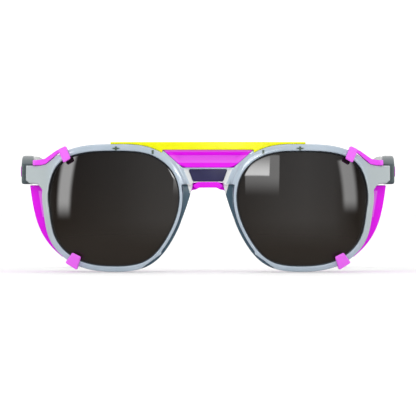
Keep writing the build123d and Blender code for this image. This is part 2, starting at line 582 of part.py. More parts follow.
def main():
    nodes = build()
    boxes = [s.bounding_box() for solids in nodes.values() for s in solids]
    y_mid = (min(b.min.Y for b in boxes) + max(b.max.Y for b in boxes)) / 2
    z_low = min(b.min.Z for b in boxes)
    place = Pos(0, -y_mid, -z_low)
    os.makedirs("parts", exist_ok=True)
    for name, solids in nodes.items():
        placed = [place * s for s in solids]
        shape = placed[0] if len(placed) == 1 else Compound(children=placed)
        export_step(shape, f"parts/{name}.step")
    print("moved by", round(-y_mid, 3), round(-z_low, 3))


main()
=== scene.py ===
"""Looks for a pair of glacier glasses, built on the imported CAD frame.

The lenses face -Y, the temples run back along +Y and +Z is up. Every size is in metres.
"""
from __future__ import annotations

import logging
import math
from dataclasses import dataclass
from enum import Enum

import bpy
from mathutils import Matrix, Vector
from mathutils.geometry import convex_hull_2d


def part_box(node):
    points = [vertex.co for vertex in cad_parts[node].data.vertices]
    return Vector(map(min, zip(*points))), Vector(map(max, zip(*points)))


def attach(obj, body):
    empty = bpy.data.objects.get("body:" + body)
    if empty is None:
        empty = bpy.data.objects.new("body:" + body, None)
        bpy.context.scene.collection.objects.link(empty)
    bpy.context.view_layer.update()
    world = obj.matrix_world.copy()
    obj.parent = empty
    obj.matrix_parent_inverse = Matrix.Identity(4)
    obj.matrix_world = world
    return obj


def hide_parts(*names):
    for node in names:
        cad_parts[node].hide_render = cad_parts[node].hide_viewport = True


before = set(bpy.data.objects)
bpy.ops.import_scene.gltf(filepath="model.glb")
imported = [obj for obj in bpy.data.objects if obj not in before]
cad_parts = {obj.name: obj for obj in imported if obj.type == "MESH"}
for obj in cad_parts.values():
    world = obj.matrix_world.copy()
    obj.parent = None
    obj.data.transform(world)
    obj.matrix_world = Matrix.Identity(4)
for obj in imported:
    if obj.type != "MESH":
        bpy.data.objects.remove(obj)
log = logging.getLogger("glacier_glasses")
MM = 0.001
DOUBLES = 0.002 * MM    # vertices of a CAD mesh nearer than this are one
Colour = tuple[float, float, float]
Socket = bpy.types.NodeSocket
Places = tuple[tuple[float, float], ...]


class Side(Enum):
    """Which half of the glasses a piece belongs to."""

    LEFT = "left"
    RIGHT = "right"


class Body(Enum):
    """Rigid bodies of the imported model."""

    FRONT = "front"
    LEFT_TEMPLE = "left_temple"
    RIGHT_TEMPLE = "right_temple"


TEMPLE_BODY = {Side.LEFT: Body.LEFT_TEMPLE, Side.RIGHT: Body.RIGHT_TEMPLE}


# ---------------------------------------------------------------- node graphs


class Graph:
    """Short names for adding and joining shader nodes in one tree."""

    def __init__(self, tree: bpy.types.NodeTree) -> None:
        """Keeps the tree that nodes are added to."""
        self.tree = tree

    def add(self, kind: str, **values: object) -> bpy.types.Node:
        """Adds a node and sets its properties and unlinked inputs.

        Args:
            kind: The node's type name, without the "ShaderNode" in front.
            values: Property names, or input names with spaces written as underscores.

        Returns:
            The new node.
        """
        node = self.tree.nodes.new("ShaderNode" + kind)
        for key, value in values.items():
            if hasattr(node, key):
                setattr(node, key, value)
            else:
                node.inputs[key.replace("_", " ")].default_value = value
        return node

    def link(self, source: Socket, target: Socket) -> None:
        """Joins an output to an input."""
        self.tree.links.new(source, target)

    def mix(self, factor: Socket, low: object, high: object) -> Socket:
        """Mixes two colours.

        Args:
            factor: Output that drives the mix, 0 to 1.
            low: Colour or output where the factor is 0.
            high: Colour or output where the factor is 1.

        Returns:
            The mixed colour's output.
        """
        node = self.add("Mix", data_type="RGBA")
        self.link(factor, node.inputs["Factor"])
        for socket, value in ((node.inputs[6], low), (node.inputs[7], high)):
            if isinstance(value, Socket):
                self.link(value, socket)
            else:
                socket.default_value = (*value, 1.0)
        return node.outputs[2]

    def span(self, source: Socket, start: float, end: float, low: float, high: float,
             smooth: bool = False) -> Socket:
        """Maps a value from one range to another, clamped.

        Args:
            source: Output to read.
            start: Value of the source that gives low.
            end: Value of the source that gives high.
            low: Result at start.
            high: Result at end.
            smooth: Whether the step between them is eased.

        Returns:
            The mapped value's output.
        """
        node = self.add("MapRange", interpolation_type="SMOOTHSTEP" if smooth else "LINEAR")
        self.link(source, node.inputs[0])
        for index, value in enumerate((start, end, low, high), start=1):
            node.inputs[index].default_value = value
        return node.outputs[0]

    def math(self, operation: str, a: Socket, b: Socket | float) -> Socket:
        """Combines two values with a Math node.

        Args:
            operation: The node's operation.
            a: Output that gives the first value.
            b: Output or number that gives the second value.

        Returns:
            The result's output.
        """
        node = self.add("Math", operation=operation)
        self.link(a, node.inputs[0])
        if isinstance(b, Socket):
            self.link(b, node.inputs[1])
        else:
            node.inputs[1].default_value = b
        return node.outputs[0]

    def axes(self, place: Socket) -> tuple[Socket, ...]:
        """Splits a place into coordinates.

        Args:
            place: Output that holds the place.

        Returns:
            Outputs of the distance from the middle plane, of Y and of Z.
        """
        node = self.add("SeparateXYZ")
        self.link(place, node.inputs[0])
        return self.math("ABSOLUTE", node.outputs[0], 0.0), node.outputs[1], node.outputs[2]

    def all_of(self, *masks: Socket) -> Socket:
        """Multiplies masks.

        Args:
            masks: Outputs of the masks.

        Returns:
            Output of the mask of what all of them share.
        """
        result = masks[0]
        for mask in masks[1:]:
            result = self.math("MULTIPLY", result, mask)
        return result

    def within(self, source: Socket, low: float, high: float, soft: float) -> Socket:
        """Mask of the values between two limits.

        Args:
            source: Output to read.
            low: Lower limit.
            high: Upper limit.
            soft: Width of the soft edge outside each limit.

        Returns:
            The mask's output.
        """
        return self.all_of(self.span(source, low - soft, low, 0.0, 1.0, True),
                           self.span(source, high, high + soft, 1.0, 0.0, True))

    def lens_depth(self, place: Socket) -> Socket:
        """Distance from the centre of the sphere that the nearer lens lies on.

        Args:
            place: Output that holds the place.

        Returns:
            The distance's output.
        """
        across, back, up = self.axes(place)
        mirrored = self.add("CombineXYZ")
        for source, socket in zip((across, back, up), mirrored.inputs):
            self.link(source, socket)
        away = self.add("VectorMath", operation="DISTANCE")
        self.link(mirrored.outputs[0], away.inputs[0])
        away.inputs[1].default_value = Lens(Side.RIGHT).centre()
        return away.outputs["Value"]

    def noise(self, place: Socket, scale: float, detail: float,
              stretch: tuple[float, float, float]) -> Socket:
        """Noise over the object's own space.

        Args:
            place: Output that holds the place.
            scale: Features per metre.
            detail: Octaves.
            stretch: Scale of each axis, for grain that runs along one.

        Returns:
            The noise value's output.
        """
        mapping = self.add("Mapping", Scale=stretch)
        self.link(place, mapping.inputs["Vector"])
        node = self.add("TexNoise", Scale=scale, Detail=detail)
        self.link(mapping.outputs[0], node.inputs["Vector"])
        return node.outputs[0]


class SharedEffect:
    """Node groups that several materials use, each built once."""

    WAVE_SCALE, WAVE_STEP = 160.0, (0.35, 0.65)
    SMEAR_SCALE, SMEAR_STEP, SMEAR_STRETCH = 90.0, (0.5, 0.72), (1.0, 1.0, 2.2)
    HAIR_SCALE, HAIR_STEP, HAIR_STRETCH = 900.0, (0.66, 0.72), (0.12, 1.0, 2.0)
    HAIR_STRENGTH = 0.6
    _made: dict[str, bpy.types.NodeTree] = {}

    @classmethod
    def _new(cls, name: str, inputs: dict[str, tuple[str, float]],
             outputs: dict[str, str]) -> tuple[Graph, dict, dict]:
        """Starts a group with named sockets.

        Args:
            name: The group's name.
            inputs: Socket type and default of each input; vectors have no default.
            outputs: Socket type of each output.

        Returns:
            The group's graph, its inputs as outputs of the input node, and the output node's inputs.
        """
        tree = bpy.data.node_groups.new(name, "ShaderNodeTree")
        for label, (kind, default) in inputs.items():
            socket = tree.interface.new_socket(label, in_out="INPUT", socket_type=kind)
            if kind == "NodeSocketFloat":
                socket.default_value = default
        for label, kind in outputs.items():
            tree.interface.new_socket(label, in_out="OUTPUT", socket_type=kind)
        cls._made[name] = tree
        entry, result = tree.nodes.new("NodeGroupInput"), tree.nodes.new("NodeGroupOutput")
        return Graph(tree), entry.outputs, result.inputs

    @classmethod
    def moulded_skin(cls) -> bpy.types.NodeTree:
        """Slow waviness and fine grain of a moulded surface, as a height and a roughness mask.

        Returns:
            The effect's node group.
        """
        name = "moulded_skin"
        if name not in cls._made:
            g, entry, result = cls._new(
                name,
                {"Place": ("NodeSocketVector", 0.0), "Grain Scale": ("NodeSocketFloat", 4000.0),
                 "Grain": ("NodeSocketFloat", 0.3), "Waviness": ("NodeSocketFloat", 0.5)},
                {"Height": "NodeSocketFloat", "Mask": "NodeSocketFloat"})
            wave = g.add("TexNoise", Scale=cls.WAVE_SCALE, Detail=2.0)
            grain = g.add("TexNoise", Detail=2.0)
            for node in (wave, grain):
                g.link(entry["Place"], node.inputs["Vector"])
            g.link(entry["Grain Scale"], grain.inputs["Scale"])
            slow = g.math("MULTIPLY", wave.outputs[0], entry["Waviness"])
            fine = g.math("MULTIPLY", grain.outputs[0], entry["Grain"])
            g.link(g.math("ADD", slow, fine), result["Height"])
            g.link(g.span(wave.outputs[0], *cls.WAVE_STEP, 0.0, 1.0), result["Mask"])
        return cls._made[name]

    @classmethod
    def handling_marks(cls) -> bpy.types.NodeTree:
        """Faint smears and hairline scratches left by wiping, as a mask.

        Returns:
            The effect's node group.
        """
        name = "handling_marks"
        if name not in cls._made:
            g, entry, result = cls._new(
                name,
                {"Place": ("NodeSocketVector", 0.0), "Amount": ("NodeSocketFloat", 0.5)},
                {"Mask": "NodeSocketFloat"})
            smear = g.noise(entry["Place"], cls.SMEAR_SCALE, 4.0, cls.SMEAR_STRETCH)
            hair = g.noise(entry["Place"], cls.HAIR_SCALE, 1.0, cls.HAIR_STRETCH)
            lines = g.span(hair, *cls.HAIR_STEP, 0.0, cls.HAIR_STRENGTH)
            patches = g.span(smear, *cls.SMEAR_STEP, 0.0, 1.0, smooth=True)
            both = g.math("MAXIMUM", patches, lines)
            g.link(g.math("MULTIPLY", both, entry["Amount"]), result["Mask"])
        return cls._made[name]


# ---------------------------------------------------------------- finishes


@dataclass(frozen=True)
class Finish:
    """A moulded plastic or rubber: one colour with small changes, grain and wiping marks."""

    name: str
    colour: Colour
    shade: Colour
    roughness: float
    rough_spread: float = 0.08
    grain: float = 0.2
    grain_scale: float = 5000.0
    waviness: float = 0.3
    bump: float = 0.1
    marks: float = 0.5
    coat: float = 0.0
    subsurface: float = 0.0
    transmission: float = 0.0
    specular: float = 0.5
    wear: float = 1.5
    relief: float = 0.2 * MM
    refraction: float = 1.49
    coat_roughness: float = 0.04
    scatter_radius: Colour = (4 * MM, 2 * MM, 3 * MM)
    scatter_scale: float = 0.5

    def material(self) -> bpy.types.Material:
        """Builds the material once and returns it."""
        name = self.name + "_finish"
        made = bpy.data.materials.get(name)
        if made is None:
            made = bpy.data.materials.new(name)
            made.use_nodes = True
            self.wire(Graph(made.node_tree))
        return made

    def wire(self, g: Graph) -> None:
        """Joins the nodes of the finish.

        Args:
            g: Graph of the new material.
        """
        shader = g.tree.nodes["Principled BSDF"]
        place = g.add("TexCoord").outputs["Object"]
        skin = self.group(g, SharedEffect.moulded_skin(), place,
                          Grain_Scale=self.grain_scale, Grain=self.grain, Waviness=self.waviness)
        marks = self.group(g, SharedEffect.handling_marks(), place, Amount=self.marks)
        g.link(self.colours(g, place, skin.outputs["Mask"]), shader.inputs["Base Color"])
        wiped = g.math("ADD", skin.outputs["Mask"], marks.outputs["Mask"])
        polished, worn = max(self.roughness - self.rough_spread / 2, 0.01), self.roughness + self.rough_spread
        g.link(g.span(wiped, 0.0, self.wear, polished, worn), shader.inputs["Roughness"])
        bump = g.add("Bump", Strength=self.bump, Distance=self.relief)
        g.link(self.height(g, place, skin.outputs["Height"]), bump.inputs["Height"])
        g.link(bump.outputs[0], shader.inputs["Normal"])
        shader.inputs["IOR"].default_value = self.refraction
        shader.inputs["Specular IOR Level"].default_value = self.specular
        shader.inputs["Coat Weight"].default_value = self.coat
        shader.inputs["Coat Roughness"].default_value = self.coat_roughness
        shader.inputs["Subsurface Weight"].default_value = self.subsurface
        shader.inputs["Subsurface Radius"].default_value = self.scatter_radius
        shader.inputs["Subsurface Scale"].default_value = self.scatter_scale
        shader.inputs["Transmission Weight"].default_value = self.transmission

    def group(self, g: Graph, tree: bpy.types.NodeTree, place: Socket, **values: float) -> bpy.types.Node:
        """Places a shared effect in the material with this finish's values.

        Args:
            g: Graph of the material.
            tree: The effect's node group.
            place: Output that holds the place on the piece.
            values: Input names, with spaces written as underscores.

        Returns:
            The group node.
        """
        node = g.add("Group", node_tree=tree)
        g.link(place, node.inputs["Place"])
        for key, value in values.items():
            node.inputs[key.replace("_", " ")].default_value = value
        return node

    def colours(self, g: Graph, place: Socket, mask: Socket) -> Socket:
        """Colour over the surface: the shade colour where the skin is thin, the main colour elsewhere."""
        return g.mix(g.span(mask, 0.0, 1.0, 0.0, 1.0), self.shade, self.colour)

    def height(self, g: Graph, place: Socket, skin: Socket) -> Socket:
        """Height over the surface, which is the moulded skin alone."""
        return skin


@dataclass(frozen=True)
class LeaningBand:
    """A band beside a leaning line in the front view, on both halves of the glasses, where the frame gets a
    painted highlight.
    """

    x: float
    z: float
    slope: float
    across: tuple[float, float, float]
    up: tuple[float, float, float]

    def mask(self, g: Graph, across: Socket, up: Socket) -> Socket:
        """Marks the band.

        Args:
            g: Graph of the material.
            across: Output that holds the distance from the middle plane.
            up: Output that holds the height.

        Returns:
            The mask's output.
        """
        lean = g.math("MULTIPLY", g.math("SUBTRACT", up, self.z), self.slope)
        beside = g.math("SUBTRACT", g.math("SUBTRACT", across, self.x), lean)
        return g.all_of(g.within(beside, *self.across), g.within(up, *self.up))


@dataclass(frozen=True)
class PegShadow:
    """A painted shadow of a peg seen through the clear plastic, in the front view: its middle, its half width
    and its half height.
    """

    x: float
    z: float
    half_width: float
    half_height: float
    strength: float = 0.9
    core: tuple[float, float] = (0.4, 0.6)

    def mask(self, g: Graph, across: Socket, up: Socket) -> Socket:
        """Marks the place, with edges that fade outside its core.

        Args:
            g: Graph of the material.
            across: Output that holds the distance from the middle plane.
            up: Output that holds the height.

        Returns:
            The mask's output.
        """
        near_x = g.math("ABSOLUTE", g.math("SUBTRACT", across, self.x), 0.0)
        near_z = g.math("ABSOLUTE", g.math("SUBTRACT", up, self.z), 0.0)
        core_x, core_z = self.half_width * self.core[0], self.half_height * self.core[1]
        return g.all_of(g.span(near_x, core_x, self.half_width, self.strength, 0.0, True),
                        g.span(near_z, core_z, self.half_height, 1.0, 0.0, True))


@dataclass(frozen=True)
class ClearFrame(Finish):
    """Translucent frame plastic: light in front, a line of painted shade in its depth, teal on the nose
    flanges, painted highlights on the bevels and painted shadows of the pegs.
    """

    end_colour: Colour = (0.50, 0.56, 0.57)
    # painted shade: the dark line is the step between rim and nose flange in shadow
    line_shade_colour: Colour = (0.045, 0.055, 0.075)
    flange_colour: Colour = (0.065, 0.12, 0.165)
    bevel_highlight_colour: Colour = (0.86, 0.88, 0.88)
    peg_shadow_colour: Colour = (0.03, 0.06, 0.02)
    end_x: float = 56 * MM
    end_blend: float = 8 * MM
    flange_depth: float = 89.4 * MM
    flange_blend: float = 0.3 * MM
    front_depth: float = 90.7 * MM
    front_blend: float = 0.4 * MM
    # painted highlights: bright bands on the bevels beside the bridge and on the heels of the nasal wings
    bevel: LeaningBand = LeaningBand(6.9 * MM, 33.4 * MM, 0.406, (-2.0 * MM, -0.4 * MM, 0.5 * MM),
                                     (31.0 * MM, 39.6 * MM, 0.4 * MM))
    heel_highlight: LeaningBand = LeaningBand(6.9 * MM, 30.0 * MM, 0.28, (-4.0 * MM, -0.2 * MM, 0.3 * MM),
                                    (30.0 * MM, 33.8 * MM, 0.5 * MM))
    peg_shadows: tuple[PegShadow, ...] = (
        PegShadow(35.5 * MM, 47.7 * MM, 0.6 * MM, 1.0 * MM),
        PegShadow(21.3 * MM, 46.3 * MM, 0.6 * MM, 1.0 * MM),
        PegShadow(35.5 * MM, 47.7 * MM, 1.9 * MM, 0.4 * MM),
    )

    def colours(self, g: Graph, place: Socket, mask: Socket) -> Socket:
        """Colour from the depth behind the front, with grey-green ends, painted highlights on the bevels and
        painted shadows of the pegs.

        Args:
            g: Graph of the material.
            place: Output that holds the place on the piece.
            mask: Mask of the moulded skin.

        Returns:
            The colour's output.
        """
        across, _, up = g.axes(place)
        depth = g.lens_depth(place)
        ends = g.span(across, self.end_x, self.end_x + self.end_blend, 0.0, 1.0, smooth=True)
        body = g.mix(ends, g.mix(mask, self.shade, self.colour), self.end_colour)
        # depths between the flange and the front get the painted shade of the step
        behind = g.span(depth, self.flange_depth, self.flange_depth + self.flange_blend, 0.0, 1.0)
        in_front = g.span(depth, self.front_depth - self.front_blend, self.front_depth, 0.0, 1.0, True)
        tinted = g.mix(in_front, g.mix(behind, self.flange_colour, self.line_shade_colour), body)
        # painted highlight on the bevels and heels
        bright = g.math("MAXIMUM", self.bevel.mask(g, across, up), self.heel_highlight.mask(g, across, up))
        # painted shadows of the pegs, seen through the clear plastic
        dark, *more = (peg.mask(g, across, up) for peg in self.peg_shadows)
        for mark in more:
            dark = g.math("MAXIMUM", dark, mark)
        return g.mix(dark, g.mix(bright, tinted, self.bevel_highlight_colour), self.peg_shadow_colour)


@dataclass(frozen=True)
class ShieldPlastic(Finish):
    """Flexible shield plastic: paler clips in front of the rim, and a painted highlight strip down the leaf.
    """

    # paler colour of the clips and of the painted highlight down the leaf
    light: Colour = (0.84, 0.15, 0.90)
    clip_depth: float = 91.9 * MM
    clip_blend: tuple[float, float] = (-0.2 * MM, 0.4 * MM)
    strip_slope: float = 0.17
    strip_edge: tuple[float, float] = (60.3 * MM, 60.6 * MM)
    strip_up: tuple[float, float, float] = (21.5 * MM, 31.2 * MM, 0.4 * MM)

    def colours(self, g: Graph, place: Socket, mask: Socket) -> Socket:
        """Main colour with the paler clips and the painted highlight strip.

        Args:
            g: Graph of the material.
            place: Output that holds the place on the piece.
            mask: Mask of the moulded skin.

        Returns:
            The colour's output.
        """
        across, _, up = g.axes(place)
        before, after = self.clip_blend
        clips = g.span(g.lens_depth(place), self.clip_depth + before, self.clip_depth + after, 0.0, 1.0)
        edge = g.math("SUBTRACT", across, g.math("MULTIPLY", up, self.strip_slope))
        # painted highlight: a paler strip down the leaf
        strip = g.all_of(g.span(edge, *self.strip_edge, 1.0, 0.0), g.within(up, *self.strip_up))
        return g.mix(g.math("MAXIMUM", clips, strip), g.mix(mask, self.shade, self.colour), self.light)


@dataclass(frozen=True)
class PadRubber(Finish):
    """Soft pad with a painted highlight on the upper lip and the floor of the scoop, which face up, and its
    main colour on the slopes.
    """

    # painted highlight colour
    light: Colour = (0.80, 0.10, 0.86)
    lit_bands: Places = ((42.4 * MM, 44.9 * MM), (46.6 * MM, 50.0 * MM))
    blend: float = 0.4 * MM

    def colours(self, g: Graph, place: Socket, mask: Socket) -> Socket:
        """Main colour with the painted highlight on the faces that look up.

        Args:
            g: Graph of the material.
            place: Output that holds the place on the piece.
            mask: Mask of the moulded skin.

        Returns:
            The colour's output.
        """
        _, _, up = g.axes(place)
        # painted highlight on the upper lip and the scoop's floor, which face up
        low, high = (g.within(up, start, end, self.blend) for start, end in self.lit_bands)
        return g.mix(g.math("MAXIMUM", low, high), g.mix(mask, self.shade, self.colour), self.light)


@dataclass(frozen=True)
class RibbedRubber(Finish):
    """Soft rubber with a row of shallow grip lines."""

    pitch: float = 2.2 * MM
    groove: tuple[float, float] = (0.55, 0.95)
    axis: int = 1

    def height(self, g: Graph, place: Socket, skin: Socket) -> Socket:
        """Adds grip lines across one axis to the skin's height.

        Args:
            g: Graph of the material.
            place: Output that holds the place on the piece.
            skin: Height of the moulded skin.

        Returns:
            The height's output.
        """
        axes = g.add("SeparateXYZ")
        g.link(place, axes.inputs[0])
        turns = g.math("MULTIPLY", axes.outputs[self.axis], 2 * math.pi / self.pitch)
        wave = g.math("SINE", turns, 0.0)
        lines = g.span(wave, *self.groove, 0.0, -1.0, smooth=True)
        return g.math("ADD", skin, lines)


@dataclass(frozen=True)
class TintedLens(Finish):
    """Polished dark lens whose tint deepens towards the top."""

    tint_up: tuple[float, float] = (4 * MM, 46 * MM)

    def colours(self, g: Graph, place: Socket, mask: Socket) -> Socket:
        """Tint from the height on the lens.

        Args:
            g: Graph of the material.
            place: Output that holds the place on the piece.
            mask: Mask of the moulded skin; not used, since glass doesn't have it.

        Returns:
            The colour's output.
        """
        axes = g.add("SeparateXYZ")
        g.link(place, axes.inputs[0])
        return g.mix(g.span(axes.outputs[2], *self.tint_up, 0.0, 1.0, smooth=True), self.colour, self.shade)


@dataclass(frozen=True)
class BrushedSteel(Finish):
    """Stainless hinge metal with brush lines along its length."""

    brush_scale: float = 3500.0
    brush_stretch: tuple[float, float, float] = (1.0, 0.05, 1.0)

    def wire(self, g: Graph) -> None:
        """Adds brush lines and metal to the plain finish."""
        super().wire(g)
        shader = g.tree.nodes["Principled BSDF"]
        shader.inputs["Metallic"].default_value = 1.0

    def height(self, g: Graph, place: Socket, skin: Socket) -> Socket:
        """Brush lines on top of the skin."""
        return g.math("ADD", skin, g.noise(place, self.brush_scale, 2.0, self.brush_stretch))


FRAME = ClearFrame("frame_plastic", (0.53, 0.62, 0.71), (0.48, 0.57, 0.66), 0.10, transmission=0.12, coat=0.3,
                   grain=0.05, waviness=0.25, bump=0.06)
TEMPLE = Finish("temple_plastic", (0.085, 0.115, 0.12), (0.07, 0.10, 0.105), 0.16, coat=0.3, grain=0.08)
BROW = Finish("brow_plastic", (0.90, 0.90, 0.0), (0.86, 0.86, 0.0), 0.30, subsurface=0.05, grain=0.12,
              specular=0.2)
# painted shade: the dark navy stands in for the nose pad in shadow, seen through the clear bridge
SHADED_PAD_PLATE = Finish("plate_plastic", (0.022, 0.02, 0.085), (0.018, 0.016, 0.07), 0.12, coat=0.2, grain=0.05)
SHIELD = ShieldPlastic("shield_plastic", (0.80, 0.0, 0.86), (0.76, 0.0, 0.82), 0.34, subsurface=0.1,
                       grain=0.3, specular=0.2)
INLAY = Finish("inlay_plastic", (0.78, 0.02, 0.86), (0.70, 0.01, 0.78), 0.3, grain=0.2)
SOFT = PadRubber("soft_pad", (0.82, 0.0, 0.88), (0.78, 0.0, 0.84), 0.48, subsurface=0.1, grain=0.5, bump=0.2,
                 specular=0.2)
TIP = RibbedRubber("tip_rubber", (0.035, 0.042, 0.045), (0.028, 0.034, 0.037), 0.55, grain=0.6, bump=0.35)
STEEL = BrushedSteel("steel", (0.62, 0.62, 0.60), (0.5, 0.5, 0.49), 0.28, grain=0.2, bump=0.15)
LENS = TintedLens("lens", (0.022, 0.017, 0.013), (0.012, 0.010, 0.009), 0.03, rough_spread=0.03, grain=0.0,
                  waviness=0.05, bump=0.01, marks=0.3, coat=0.2)
# painted shade: a dark tube stands in for the shade in the groove between lens and rim
GROOVE_SHADE = Finish("lens_groove_shade", (0.02, 0.03, 0.04), (0.015, 0.02, 0.03), 0.35, grain=0.2)


# ---------------------------------------------------------------- modelling helpers


def nothing_selected() -> None:
    """Leaves edit mode and deselects everything."""
    if bpy.context.mode != "OBJECT":
        bpy.ops.object.mode_set(mode="OBJECT")
    bpy.ops.object.select_all(action="DESELECT")


def choose(piece: bpy.types.Object) -> None:
    """Makes one object the active and only selected one."""
    nothing_selected()
    piece.select_set(True)
    bpy.context.view_layer.objects.active = piece


def apply_all(piece: bpy.types.Object) -> None:
    """Applies the modifiers of a piece in order."""
    choose(piece)
    for modifier in list(piece.modifiers):
        bpy.ops.object.modifier_apply(modifier=modifier.name)


def settle(piece: bpy.types.Object) -> None:
    """Puts the piece's place into its mesh, so that its object sits at the origin."""
    choose(piece)
    bpy.ops.object.transform_apply(location=True, rotation=True, scale=True)


def dress(piece: bpy.types.Object, finish: Finish) -> None:
    """Gives a piece one material."""
    piece.data.materials.clear()
    piece.data.materials.append(finish.material())


def copy_of(node: str, name: str) -> bpy.types.Object:
    """Copies a CAD node's mesh into a new piece with its doubles merged.

    Args:
        node: The CAD node's name.
        name: The new piece's name.

    Returns:
        The new piece.
    """
    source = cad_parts[node]
    piece = bpy.data.objects.new(name, source.data.copy())
    bpy.context.scene.collection.objects.link(piece)
    choose(piece)
    bpy.ops.object.mode_set(mode="EDIT")
    bpy.ops.mesh.select_all(action="SELECT")
    bpy.ops.mesh.remove_doubles(threshold=DOUBLES)
    bpy.ops.object.mode_set(mode="OBJECT")
    return piece


@dataclass
class Moulding:
    """A plastic or rubber piece with the softened edges that a mould gives."""

    node: str
    name: str
    body: Body
    finish: Finish
    slot: str
    cell: float = 0.3 * MM
    passes: int = 3

    def build(self) -> bpy.types.Object:
        """Models the piece from its CAD node and dresses it.

        Returns:
            The finished piece.
        """
        piece = copy_of(self.node, self.name)
        remesh = piece.modifiers.new("skin", "REMESH")
        remesh.mode, remesh.voxel_size, remesh.use_smooth_shade = "VOXEL", self.cell, True
        soften = piece.modifiers.new("soften", "SMOOTH")
        soften.factor, soften.iterations = 0.5, self.passes
        apply_all(piece)
        dress(piece, self.finish)
        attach(piece, self.body.value)
        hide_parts(self.node)
        log.info("%s: %d faces", self.name, len(piece.data.polygons))
        return piece


@dataclass
class Lens:
    """A spherical lens with ground edges, and a dark tube of painted shade in the groove that it sits in."""

    side: Side
    radius: float = 90 * MM
    thickness: float = 2.0 * MM
    points: int = 128
    rings: int = 16
    groove_shade_radius: float = 0.26 * MM
    groove_shade_inset: float = 0.72 * MM
    groove_shade_proud: float = 0.104 * MM
    ground_edge: float = 0.12 * MM
    centre_x: float = 25.232 * MM
    centre_z: float = 24.6 * MM

    @property
    def node(self) -> str:
        """Name of the CAD lens."""
        return f"lens_{self.side.value}"

    def outline(self) -> list[Vector]:
        """Evenly spaced points round the lens in the front view.

        Returns:
            Points with X and Z of the edge, anticlockwise, and Y of 0.
        """
        flat = [Vector((v.co.x, v.co.z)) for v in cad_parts[self.node].data.vertices]
        edge = [flat[i] for i in convex_hull_2d(flat)]
        steps = [(b - a).length for a, b in zip(edge, edge[1:] + edge[:1])]
        total, places, index, walked = sum(steps), [], 0, 0.0
        for k in range(self.points):
            target = total * k / self.points
            while walked + steps[index] < target:
                walked += steps[index]
                index += 1
            a, b = edge[index], edge[(index + 1) % len(edge)]
            at = a.lerp(b, (target - walked) / steps[index])
            places.append(Vector((at.x, 0.0, at.y)))
        return places

    def centre(self) -> Vector:
        """Centre of the sphere that the front of the lens lies on."""
        low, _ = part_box(self.node)
        x = self.centre_x if self.side is Side.RIGHT else -self.centre_x
        return Vector((x, low.y + self.radius, self.centre_z))

    def depth(self, at: Vector, radius: float) -> float:
        """Y of a sphere round the lens's centre, at a place in the front view."""
        c = self.centre()
        return c.y - math.sqrt(radius ** 2 - (at.x - c.x) ** 2 - (at.z - c.z) ** 2)

    def build(self) -> bpy.types.Object:
        """Models the lens in rings from its edge to its middle.

        Returns:
            The finished lens.
        """
        low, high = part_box(self.node)
        middle = Vector(((low.x + high.x) / 2, 0.0, (low.z + high.z) / 2))
        nothing_selected()
        bpy.ops.mesh.primitive_circle_add(vertices=self.points, radius=(high.x - low.x) / 2,
                                          fill_type="NOTHING", location=middle)
        piece = bpy.context.object
        piece.name = f"lens_glass_{self.side.value}"
        settle(piece)
        for vertex, place in zip(piece.data.vertices, self.outline()):
            vertex.co = place
        choose(piece)
        bpy.ops.object.mode_set(mode="EDIT")
        bpy.ops.mesh.select_all(action="SELECT")
        for ring in range(1, self.rings):
            bpy.ops.mesh.extrude_edges_move()
            shrink = (self.rings - ring) / (self.rings - ring + 1)
            bpy.ops.transform.resize(value=(shrink, 1.0, shrink), center_override=middle)
        bpy.ops.mesh.merge(type="CENTER")
        bpy.ops.object.mode_set(mode="OBJECT")
        for vertex in piece.data.vertices:
            vertex.co.y = self.depth(vertex.co, self.radius)
        choose(piece)
        bpy.ops.object.mode_set(mode="EDIT")
        bpy.ops.mesh.select_all(action="SELECT")
        bpy.ops.mesh.normals_make_consistent(inside=False)
        bpy.ops.object.mode_set(mode="OBJECT")
        if sum(p.normal.y for p in piece.data.polygons) > 0:
            piece.data.flip_normals()
        wall = piece.modifiers.new("wall", "SOLIDIFY")
        wall.thickness, wall.offset = self.thickness, -1.0
        edge = piece.modifiers.new("ground_edge", "BEVEL")
        edge.width, edge.segments = self.ground_edge, 2
        edge.limit_method, edge.angle_limit = "ANGLE", math.radians(40)
        apply_all(piece)
        choose(piece)
        bpy.ops.object.shade_smooth_by_angle(angle=math.radians(30))
        dress(piece, LENS)
        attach(piece, Body.FRONT.value)
        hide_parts(self.node)
        log.info("%s: %d faces", piece.name, len(piece.data.polygons))
        return piece

    def build_groove_shade(self) -> bpy.types.Object:
        """Models a dark tube that paints the shade in the groove between lens and rim.

        Returns:
            The finished tube of painted shade.
        """
        places = self.outline()
        middle = sum(places, Vector()) / len(places)
        ring = []
        for before, at, after in zip(places[-1:] + places[:-1], places, places[1:] + places[:1]):
            along = (after - before).normalized()
            inward = Vector((-along.z, 0.0, along.x))
            if inward.dot(middle - at) < 0:
                inward.negate()
            inside = at + inward * self.groove_shade_inset
            ring.append(Vector((inside.x, self.depth(inside, self.radius + self.groove_shade_proud), inside.z)))
        line = bpy.data.curves.new(f"lens_groove_shade_{self.side.value}", "CURVE")
        line.dimensions, line.bevel_depth, line.bevel_resolution = "3D", self.groove_shade_radius, 2
        spline = line.splines.new("POLY")
        spline.points.add(len(ring) - 1)
        for point, place in zip(spline.points, ring):
            point.co = (*place, 1.0)
        spline.use_cyclic_u = True
        piece = bpy.data.objects.new(line.name, line)
        bpy.context.scene.collection.objects.link(piece)
        choose(piece)
        bpy.ops.object.convert(target="MESH")
        piece = bpy.context.object
        bpy.ops.object.shade_smooth()
        dress(piece, GROOVE_SHADE)
        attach(piece, Body.FRONT.value)
        log.info("%s: %d faces", piece.name, len(piece.data.polygons))
        return piece


